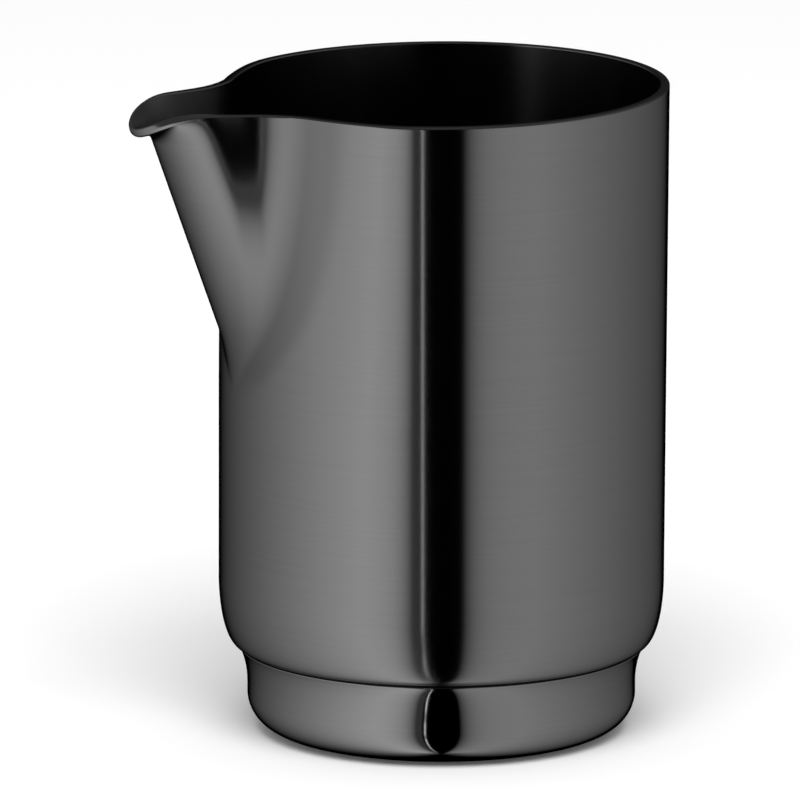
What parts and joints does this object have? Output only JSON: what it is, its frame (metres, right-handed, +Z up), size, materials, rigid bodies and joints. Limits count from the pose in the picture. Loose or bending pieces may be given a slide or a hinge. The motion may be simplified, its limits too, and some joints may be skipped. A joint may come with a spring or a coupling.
{
  "type": "creamer",
  "caption": "Small footed metal creamer: a straight round body with a rounded shoulder, a pulled spout with a turned-over lip, and a narrower foot with a round lower edge.",
  "frame": {"origin": "on the body's axis, in the plane that the creamer stands on", "axes": "+Z up along the body's axis, the spout points along -X"},
  "size_m": [0.0897, 0.0732, 0.106],
  "materials": {
    "satin_steel": "dark satin, fine brushing around the body",
    "rubber": "matte"
  },
  "bodies": {
    "root": {"vessel": "satin_steel", "foot_shell": "satin_steel", "base_plate": "satin_steel", "base_pad": "rubber"}
  },
  "joints": []
}
